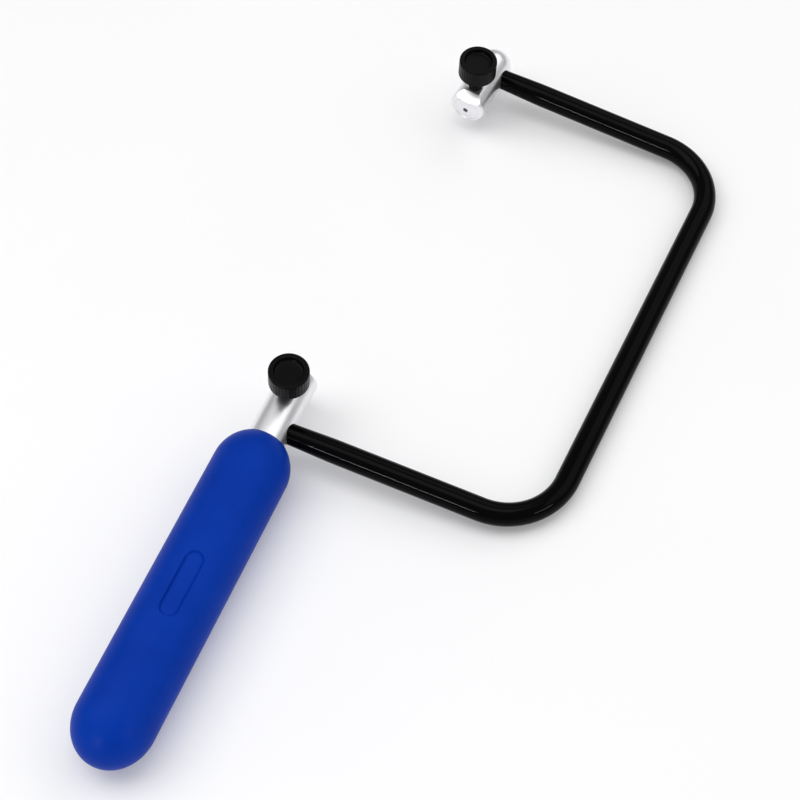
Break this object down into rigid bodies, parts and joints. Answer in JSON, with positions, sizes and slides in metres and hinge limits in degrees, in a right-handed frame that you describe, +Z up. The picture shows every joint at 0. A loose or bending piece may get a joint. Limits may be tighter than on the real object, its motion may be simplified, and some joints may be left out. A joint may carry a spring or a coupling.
{
  "type": "spiral saw bow",
  "caption": "Hand saw bow: round bent-rod frame, capsule handle and two nose clamps with dished thumb knobs that hold a thin round blade or wire between them.",
  "frame": {"origin": "middle of the whole tool's footprint, on the surface it lies on", "axes": "+Y along the handle towards the tip clamp, +X from the handle towards the back of the bow, +Z up, on the knobs' side"},
  "size_m": [0.1167, 0.3012, 0.032],
  "materials": {
    "blue_plastic": "satin moulded",
    "core_plastic": "moulded",
    "bare_aluminium": "turned, satin",
    "black_rod": "gloss coated steel",
    "black_plastic": "satin moulded",
    "black_steel": "black oxide",
    "plain_steel": "ground",
    "brass": "turned"
  },
  "bodies": {
    "frame": {"handle_grip": "blue_plastic", "handle_core": "core_plastic", "tang_pin": "plain_steel", "handle_clamp": "bare_aluminium", "bow_rod": "black_rod", "tip_clamp": "bare_aluminium", "handle_rod_screw": "black_steel", "tip_rod_screw": "black_steel"},
    "handle_pad": {"handle_blade_pad": "brass"},
    "handle_screw": {"handle_knob": "black_plastic", "handle_knob_stud": "black_steel"},
    "tip_pad": {"tip_blade_pad": "brass"},
    "tip_screw": {"tip_knob": "black_plastic", "tip_knob_stud": "black_steel"}
  },
  "joints": [
    {"name": "handle_pad_slide", "type": "slide", "parent": "frame", "child": "handle_pad", "axis": [0.0872, 0, 0.9962], "range_m": [0, 0.00321]},
    {"name": "handle_knob_turn", "type": "hinge", "parent": "handle_pad", "child": "handle_screw", "pos_m": [-0.04561, -0.01488, 0.01275], "axis": [0.0872, 0, 0.9962], "range_deg": [0, 1440]},
    {"name": "tip_pad_slide", "type": "slide", "parent": "frame", "child": "tip_pad", "axis": [0.0872, 0, 0.9962], "range_m": [-0.00289, 0.00033]},
    {"name": "tip_knob_turn", "type": "hinge", "parent": "tip_pad", "child": "tip_screw", "pos_m": [-0.03779, 0.12832, 0.01206], "axis": [0.0872, 0, 0.9962], "range_deg": [-1296, 144]}
  ],
  "couplings": [
    {"joint": "handle_pad_slide", "follows": "handle_knob_turn", "m_per_rad": 0.00012732},
    {"joint": "tip_pad_slide", "follows": "tip_knob_turn", "m_per_rad": 0.00012732}
  ]
}
